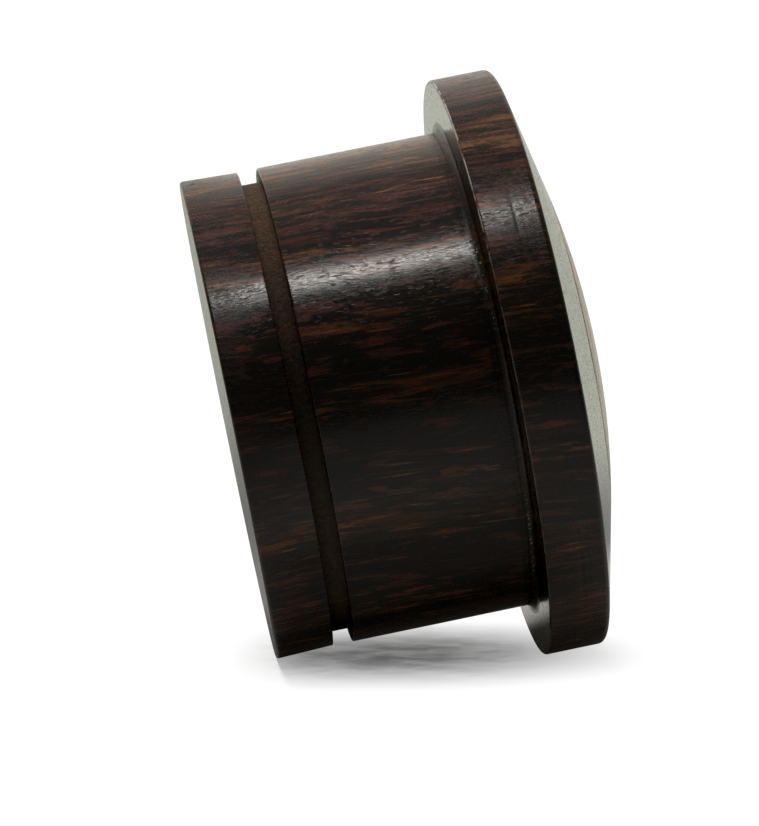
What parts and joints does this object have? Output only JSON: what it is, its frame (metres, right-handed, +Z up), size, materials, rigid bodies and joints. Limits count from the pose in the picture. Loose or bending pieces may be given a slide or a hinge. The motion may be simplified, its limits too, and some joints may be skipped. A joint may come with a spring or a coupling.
{
  "type": "single-flare ear plug",
  "caption": "Turned dark-wood ear plug with a straight barrel, an O-ring groove near its back end, a wide flange and a domed face with a round inlay.",
  "frame": {"origin": "on the surface that the plug lies on, under the middle of its box", "axes": "+Z up as the plug lies on its side, +X towards the domed face; the plug's own axis lies in the XZ plane and leans up 10.87 degrees from +X, because the flange is wider than the land"},
  "size_m": [0.022, 0.0304, 0.0304],
  "materials": {
    "dark_wood": "near-black brown wood with fine red-brown grain along the axis, fine sanded and waxed to a satin shine; matte in the groove",
    "inlay_wood": "warm light brown wood, grain across the face, satin wax"
  },
  "bodies": {
    "root": {"plug_body": "dark_wood", "face_inlay": "inlay_wood"}
  },
  "joints": []
}
